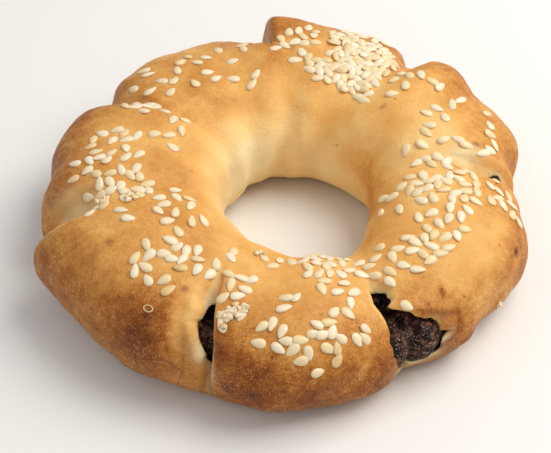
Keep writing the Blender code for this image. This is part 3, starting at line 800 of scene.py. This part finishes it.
def bumpy(tree, height, strength, depth):
    """Shade small bumps, depth mm high, that the mesh doesn't have."""
    bump = add_node(tree, "ShaderNodeBump", Height=height, Strength=strength, Distance=depth * MM)
    tree.links.new(bump.outputs["Normal"], tree.nodes["Principled BSDF"].inputs["Normal"])


def dress(piece, material):
    piece.data.materials.clear()
    piece.data.materials.append(material)


def new_material(name):
    """A material with its node tree, its shader and the place of each point in metres."""
    made = bpy.data.materials.new(name)
    made.use_nodes = True
    tree = made.node_tree
    where = add_node(tree, "ShaderNodeTexCoord").outputs["Object"]
    return made, tree, tree.nodes["Principled BSDF"], where


def crust_material():
    made, tree, shader, where = new_material("egg-washed baked crust")
    bake_and_shade, crumb, flour, stain_and_shade, olive_and_shade, scorch = (
        stored(tree, name) for name in ("bake_and_shade", "crumb", "flour", "stain_and_shade", "olive_and_shade", "scorch"))

    # mottling: wide patches everywhere, and small patches and grain that grow with the browning
    def centred(size, detail):
        return maths(tree, "SUBTRACT", noise_field(tree, where, size, detail), 0.5)

    # the bake number carries painted light and shade as well as browning, so the ramp darkens shaded places too
    total = maths(tree, "MULTIPLY_ADD", centred(15.0, 2.0), 0.5, bake_and_shade)
    strength = mapped(tree, bake_and_shade, 0.35, 0.80, 0.15, 1.0)
    for size, weight, detail in ((4.5, 0.50, 3.0), (1.5, 0.45, 3.0), (0.45, 0.60, 2.0)):
        part = maths(tree, "MULTIPLY", centred(size, detail), strength)
        total = maths(tree, "MULTIPLY_ADD", part, weight, total)
    colour = colour_ramp(tree, total, (
        (0.00, "#F8E5B6"), (0.20, "#F4CF8B"), (0.38, "#E7AF62"), (0.55, "#CF9047"),
        (0.72, "#AE6A28"), (0.88, "#924F19"), (1.00, "#7A3E10")))

    # low down and under folds the crust is olive brown: partly its own colour where little heat reached, partly
    # painted shade where less light reaches
    colour = mixed(tree, maths(tree, "MULTIPLY", olive_and_shade, 0.45), colour, linear("#A4834F"))

    # small reddish spots where sugar caught, with ragged edges
    waver = add_node(tree, "ShaderNodeTexNoise", Vector=where, Scale=1.0 / (0.9 * MM)).outputs["Color"]
    ragged = add_node(tree, "ShaderNodeMix", {"data_type": "RGBA", "blend_type": "ADD"},
                      i0=0.0016, i6=where, i7=waver).outputs[2]
    away, own = cells(tree, ragged, 5.0)
    spot = mapped(tree, away, 0.05, 0.12, 0.8, 0.0)
    spot = maths(tree, "MULTIPLY", spot, maths(tree, "GREATER_THAN", own, 0.6))
    spot = maths(tree, "MULTIPLY", spot, strength)
    colour = mixed(tree, maths(tree, "MAXIMUM", spot, scorch), colour, linear("#56261A"))

    # dark pores, scattered over the whole crust
    away, own = cells(tree, ragged, 6.5)
    colour = mixed(tree, mapped(tree, away, 0.03, 0.075, 0.6, 0.0), colour, linear("#7A4520"))

    # bare crumb in the cuts, stained where the filling lies against it; the near-black stain is also painted
    # shade in the gap round the filling
    colour = mixed(tree, crumb, colour, mixed(tree, stain_and_shade, linear("#EBDCAE"), linear("#2A1610")))

    # fine pale specks in drifts: flour, and blisters as small as grains of salt
    away, own = cells(tree, where, 0.55)
    speck = mapped(tree, away, 0.12, 0.40, 1.0, 0.0)
    drift = mapped(tree, noise_field(tree, where, 6.0, 4.0), 0.40, 0.62, 0.2, 1.0)
    for weaker in (mapped(tree, own, 0.2, 1.0, 0.0, 1.0), flour, drift):
        speck = maths(tree, "MULTIPLY", speck, weaker)
    colour = mixed(tree, speck, colour, linear("#F8D9A4"))
    tree.links.new(colour, shader.inputs["Base Color"])

    # egg wash leaves a soft sheen that comes and goes, and the crumb has none
    rough = mapped(tree, noise_field(tree, where, 3.0), 0.0, 1.0, 0.42, 0.62)
    rough = add_node(tree, "ShaderNodeMix", i0=crumb, i2=rough, i3=0.85).outputs[0]
    tree.links.new(rough, shader.inputs["Roughness"])
    bumpy(tree, noise_field(tree, where, 0.6, 3.0), 0.5, 0.3)
    set_inputs(shader, IOR=1.4, Specular_IOR_Level=0.28)
    # a little light goes into the dough and comes out again redder
    set_inputs(shader, Subsurface_Weight=0.12, Subsurface_Radius=(1.0, 0.5, 0.2), Subsurface_Scale=1.5 * MM)
    return made


dress(dough, crust_material())
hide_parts("dough")
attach(dough, "root")

# %% [markdown]
# ## The filling
# A stiff, dark, sweet paste. Where it shows it is lumpy, almost black in its creases, purple-brown on its
# lumps, and grainy enough to sparkle; the sparkle is a painted highlight, pale specks in its colour.

# %% Model the filling
filling = ring_piece("dark_filling", room_points(*FILLING_MESH, True))
roughen(filling, "lumps", 5.0, 1.6)
roughen(filling, "crumbs", 1.4, 0.8)


# %% The filling's material
def filling_material():
    made, tree, shader, where = new_material("dark sweet paste")
    colour = colour_ramp(tree, noise_field(tree, where, 1.7, 6.0), (
        (0.36, "#0A0402"), (0.47, "#2C1812"), (0.57, "#5C382B"), (0.68, "#94664F")))

    # painted glints: pale specks in the colour stand for the light that grains of sugar and crushed bean catch,
    # thicker in some places
    away, own = cells(tree, where, 0.5)
    painted_glint = mapped(tree, away, 0.12, 0.42, 1.0, 0.0)
    painted_glint = maths(tree, "MULTIPLY", painted_glint, maths(tree, "GREATER_THAN", own, 0.35))
    drift = mapped(tree, noise_field(tree, where, 3.0), 0.44, 0.60, 0.1, 1.0)
    colour = mixed(tree, maths(tree, "MULTIPLY", painted_glint, drift), colour, linear("#E0C6B2"))
    tree.links.new(colour, shader.inputs["Base Color"])

    # the paste is moist on its lumps and dull between them
    grain = noise_field(tree, where, 0.6, 3.0)
    tree.links.new(mapped(tree, grain, 0.0, 1.0, 0.35, 0.85), shader.inputs["Roughness"])
    bumpy(tree, grain, 1.0, 1.0)
    set_inputs(shader, Specular_IOR_Level=0.22)
    return made


dress(filling, filling_material())
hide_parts("filling")
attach(filling, "root")

# %% [markdown]
# ## Sesame seeds
# Each seed is a flat drop about 3.8 mm long. One is modelled from a sphere and copied. They lie in the
# patches where the baker's hand strewed them, heaped in one place at the back, and each is set on the crust
# below it.

# %% Patches of seeds
SEED_SIZE = (3.75, 2.3, 1.0)
# A patch has its middle, its reach in degrees along the ring and round the section, its number of seeds, the
# least distance between them in mm, and how much more toasted than the others they are.
Patch = namedtuple("Patch", "theta phi along around count spacing toast", defaults=(0.0,))
PATCHES = table(
    Patch,
    (236.9, 72.4, 0.2, 1, 1, 2.4, 0.45), (251.6, 64, 0.2, 1, 1, 2.4, 0.4),
    (237.6, 53, 0.2, 1, 1, 2.4, 0.35), (8, 104, 7, 27, 7, 2.4), (13, 51, 7, 6, 4, 2.4),
    (2, 56, 2, 10, 2, 2.4), (24, 84, 7, 17, 6, 2.4), (41, 90, 8, 24, 7, 2.4), (61, 86, 9, 23, 62, 1.3),
    (62, 93, 13, 32, 36, 1.4), (68, 52, 8, 5, 8, 1.7), (72, 112, 9, 8, 10, 2), (55, 124, 8, 4, 6, 2.2),
    (81, 84, 7, 24, 11, 2.2), (91, 80, 5, 14, 5, 2.4), (109, 95, 7, 32, 7, 3), (122, 88, 6, 26, 6, 3),
    (139, 76, 8, 32, 9, 3), (156, 90, 6, 12, 9, 2.2), (160, 118, 7, 10, 4, 3),
    (179, 80, 9, 19, 15, 2.1), (190, 76, 6, 26, 13, 2.1), (173, 118, 4, 10, 3, 3),
    (202, 80, 4, 26, 13, 1.9), (210, 98, 6, 28, 8, 2.6), (230, 72, 7, 20, 13, 2.3),
    (226, 112, 9, 16, 6, 3), (241, 86, 5, 9, 5, 2.3), (248, 112, 2, 8, 2, 2.4),
    (246.5, 49, 0.3, 1, 1, 2.4), (254, 76, 4, 14, 7, 2.1), (256, 47, 3, 8, 3, 2.4),
    (265.5, 46, 3.2, 4, 3, 2.4), (262.4, 33, 0.6, 2, 1, 2.4, 0.1), (269.8, 35, 2.6, 3.5, 4, 2.2, 0.1),
    (273.4, 28, 1.4, 3.5, 3, 2.2, 0.1), (275.4, 17.4, 0.5, 1.5, 1, 2.4, 0.1),
    (277.6, 44, 2.4, 6, 5, 2.1), (280, 29, 1.8, 8, 6, 2, 0.1), (287, 34, 1.6, 3, 3, 2, 0.1),
    (283, 56, 4, 5, 3, 2.6), (269.8, 64, 2.4, 8, 3, 2.3), (284, 80, 5, 9, 5, 2.3),
    (268, 120, 9, 14, 5, 2.4), (281, 112, 7, 24, 12, 2.1), (292, 114, 7, 22, 11, 2.3),
    (303, 98, 5, 22, 6, 2.4), (315, 80, 8, 19, 14, 2.3), (300.7, 43, 0.2, 1, 1, 2.4),
    (300, 69, 1, 2, 1, 2.4), (331, 88, 7, 24, 12, 2.3), (334, 130, 6, 18, 5, 3),
    (345, 112, 7, 20, 12, 2.3), (345, 78, 7, 16, 10, 2.2), (346, 42, 5, 15, 9, 2.2),
    (356, 86, 4, 38, 8, 2.3),
)


# %% One seed
def seed_pattern():
    """A sphere of radius 1, narrowed to a blunt point along X."""
    deselect()
    bpy.ops.mesh.primitive_uv_sphere_add(segments=10, ring_count=6, radius=1.0)
    seed = bpy.context.object
    for vertex in seed.data.vertices:
        along = vertex.co.z
        girth = 1.0 - 0.32 * along - 0.1 * along * along
        vertex.co = Vector((along, vertex.co.x * girth, vertex.co.y * girth))
    bpy.ops.object.shade_smooth()
    return seed


# %% Find the crust at a pair of angles
OUTSIDE = 30.0  # mm from the core, well outside the roll
IN_CUT = 0.87  # share of the uncut roll; what lies deeper is in a cut


def crust_distance(theta, phi):
    """About how far the uncut crust is from the core at angle phi, in mm."""
    tilt = math.radians(phi)
    for index, cut in enumerate(CUTS):
        start = line_of(cut, phi)
        length = (line_of(CUTS[(index + 1) % len(CUTS)], phi) - start) % 360.0
        part = ((theta - start) % 360.0) / length
        if part < 1.0:
            half = through(SEGMENTS[index].reach, part) - MIDDLE_RADIUS
            rise = through(SEGMENTS[index].height, part) - MIDDLE_LEVEL
            return 1.0 / math.hypot(math.cos(tilt) / half, math.sin(tilt) / rise)
    return 0.0


def crust_hit(tree, theta, phi):
    """Where a line from outside to the core, at angle phi, meets the crust, or None in a cut."""
    turn = math.radians(theta)
    tilt = math.radians(phi)
    core = Vector((MIDDLE_RADIUS * math.cos(turn), MIDDLE_RADIUS * math.sin(turn), MIDDLE_LEVEL))
    core = core * MM + RING_MIDDLE
    heading = Vector((math.cos(turn) * math.cos(tilt), math.sin(turn) * math.cos(tilt), math.sin(tilt)))
    point, _, _, distance = tree.ray_cast(core + heading * (OUTSIDE * MM), -heading)
    if point is None or OUTSIDE - distance / MM <= IN_CUT * crust_distance(theta, phi):
        return None
    return point


def crust_point(tree, theta, phi):
    """The middle and the normal of the small patch of crust that a seed lies on."""
    hits = [crust_hit(tree, theta + a, phi + b) for a, b in ((0, 0), (-1.5, 0), (1.5, 0), (0, -4), (0, 4))]
    if not all(hits):
        return None
    normal = (hits[2] - hits[1]).cross(hits[4] - hits[3]).normalized()
    return sum(hits, Vector()) / 5.0, normal


# %% Strew the seeds
TRIES = 60  # at finding a free place for a seed
HEAP_REACH = 2.2  # mm, nearer than which a seed leans on another
SUNK = 0.12  # of a seed's thickness, from the crust to the seed's middle
HEAP_RISE = 0.92  # mm, and how much higher a seed in a heap is
TINT_SPREAD = 0.55  # a tint of 0 is cream and of 1 is brown
MOST_TOASTED = 0.68


def standing(normal):
    """A turn that takes Z to the normal of the crust."""
    return normal.to_track_quat("Z", "Y").to_matrix().to_4x4()


def any_turn(draw):
    return Matrix.Rotation(draw.uniform(0, 2 * math.pi), 4, "Z")


def tinted(piece, tint):
    store(piece, "tint", np.full(len(piece.data.vertices), tint))


def strew(tree, pattern):
    """Copies of the pattern, each at a free place of its patch. One close to another leans on it."""
    draw = random.Random(21)
    taken = []
    seeds = []
    for patch in PATCHES:
        for _ in range(patch.count):
            spot = None
            for _ in range(TRIES):
                spot = crust_point(tree, patch.theta + draw.uniform(-1, 1) * patch.along,
                                   patch.phi + draw.uniform(-1, 1) * patch.around)
                if spot and all((spot[0] - other).length > patch.spacing * MM for other in taken):
                    break
                spot = None
            if not spot:
                continue
            point, normal = spot
            near = min([(point - other).length / MM for other in taken], default=HEAP_REACH)
            heap = max(0.0, 1.0 - near / HEAP_REACH)
            taken.append(point)
            size = [s * draw.uniform(0.9, 1.1) * MM / 2.0 for s in SEED_SIZE]
            lean = Matrix.Rotation(draw.gauss(0, 0.1 + 0.5 * heap), 4, "X")
            lean = lean @ Matrix.Rotation(draw.gauss(0, 0.08 + 0.4 * heap), 4, "Y")
            turn = any_turn(draw)
            rise = SEED_SIZE[2] * SUNK + HEAP_RISE * heap
            middle = point + normal * rise * MM
            seed = bpy.data.objects.new("seed", pattern.data.copy())
            seed.data.transform(Matrix.Translation(middle) @ standing(normal) @ turn @ lean
                                @ Matrix.Diagonal((*size, 1.0)))
            tinted(seed, min(TINT_SPREAD * draw.random() + patch.toast, MOST_TOASTED))
            bpy.context.scene.collection.objects.link(seed)
            seeds.append(seed)
    return seeds


dough.data.calc_loop_triangles()
crust_tree = BVHTree.FromPolygons([v.co.copy() for v in dough.data.vertices],
                                  [tuple(t.vertices) for t in dough.data.loop_triangles])
pattern = seed_pattern()
seeds = strew(crust_tree, pattern)
bpy.data.objects.remove(pattern)


def joined(pieces, name):
    """All the pieces as one."""
    deselect()
    for piece in pieces:
        piece.select_set(True)
    bpy.context.view_layer.objects.active = pieces[0]
    bpy.ops.object.join()
    whole = bpy.context.object
    whole.name = name
    print(name, "made of", len(pieces))
    return whole


sesame = joined(seeds, "sesame_seeds")

# %% [markdown]
# Some seeds were crushed when the ring was handled, and lie in crumbs. One has left only the rim of its husk.

# %% Crumbs of seeds
CRUMBS = table(
    Patch,
    (254.9, 52, 1.9, 5, 24, 0.4), (257.6, 57, 1.4, 4, 16, 0.4), (253.7, 41, 0.6, 2, 9, 0.4, 0.5),
    (256.5, 124, 2.2, 3, 8, 0.5), (198.8, 51, 0.7, 7, 14, 0.5), (200.4, 69, 0.7, 7, 12, 0.5),
    (204.3, 88, 1.6, 5, 12, 0.5), (293.8, 56, 0.3, 2, 4, 0.3), (327.5, -7, 0.3, 1, 3, 0.3),
)
HUSK = (235.8, 37.5, 2.2, 1.5, 0.19)  # theta, phi, and its length, width and thickness in mm
HUSK_TINT = 0.62
RIM = 0.16  # radius of the torus's tube, before it is given its thickness


def crumb_copies(tree):
    """Bits of seed, each a dented ball about 1 mm across, thickest at the middle of their patch."""
    draw = random.Random(5)
    deselect()
    bpy.ops.mesh.primitive_ico_sphere_add(subdivisions=2, radius=1.0)
    pattern = bpy.context.object
    copies = []
    for patch in CRUMBS:
        for _ in range(patch.count):
            spot = crust_point(tree, patch.theta + draw.gauss(0, 0.5) * patch.along,
                               patch.phi + draw.gauss(0, 0.5) * patch.around)
            if not spot:
                continue
            point, normal = spot
            crumb = bpy.data.objects.new("crumb", pattern.data.copy())
            for vertex in crumb.data.vertices:
                vertex.co *= draw.uniform(0.75, 1.25)
            size = [draw.uniform(0.35, 0.8) * MM for _ in range(3)]
            turn = any_turn(draw)
            middle = point + normal * draw.uniform(0.1, 0.7) * MM
            crumb.data.transform(Matrix.Translation(middle) @ standing(normal) @ turn
                                 @ Matrix.Diagonal((*size, 1.0)))
            tinted(crumb, 0.6 * draw.random() + patch.toast)
            bpy.context.scene.collection.objects.link(crumb)
            copies.append(crumb)
    bpy.data.objects.remove(pattern)
    return copies


def husk_rim(tree, theta, phi, long, wide, thick):
    """The rim of an empty husk: a flattened ring on the crust."""
    deselect()
    bpy.ops.mesh.primitive_torus_add(major_segments=24, minor_segments=8, major_radius=1.0, minor_radius=RIM)
    rim = bpy.context.object
    point, normal = crust_point(tree, theta, phi)
    middle = point + normal * 0.1 * MM
    size = (long * MM / 2, wide * MM / 2, thick * MM / (2 * RIM))
    rim.data.transform(Matrix.Translation(middle) @ standing(normal) @ Matrix.Diagonal((*size, 1.0)))
    tinted(rim, HUSK_TINT)
    bpy.ops.object.shade_smooth()
    return rim


crumbs = joined([husk_rim(crust_tree, *HUSK)] + crumb_copies(crust_tree), "crushed_sesame")


# %% The seeds' material
def sesame_material():
    """Hulled seeds are creamy and a little waxy, and toasting has turned some of them tan."""
    made, tree, shader, where = new_material("hulled toasted sesame")
    tint = maths(tree, "MULTIPLY_ADD", noise_field(tree, where, 1.2), 0.35, stored(tree, "tint"))
    colour = colour_ramp(tree, tint, (
        (0.00, "#F6E9D0"), (0.40, "#F2DFBC"), (0.75, "#EACF9A"), (0.90, "#DCB878"), (1.00, "#9A6638")))
    tree.links.new(colour, shader.inputs["Base Color"])
    bumpy(tree, noise_field(tree, where, 0.5), 0.3, 0.1)
    set_inputs(shader, Roughness=0.42)
    set_inputs(shader, Subsurface_Weight=0.15, Subsurface_Radius=(1.0, 0.7, 0.4), Subsurface_Scale=0.6 * MM)
    return made


toasted = sesame_material()
for piece in (sesame, crumbs):
    dress(piece, toasted)
    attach(piece, "root")
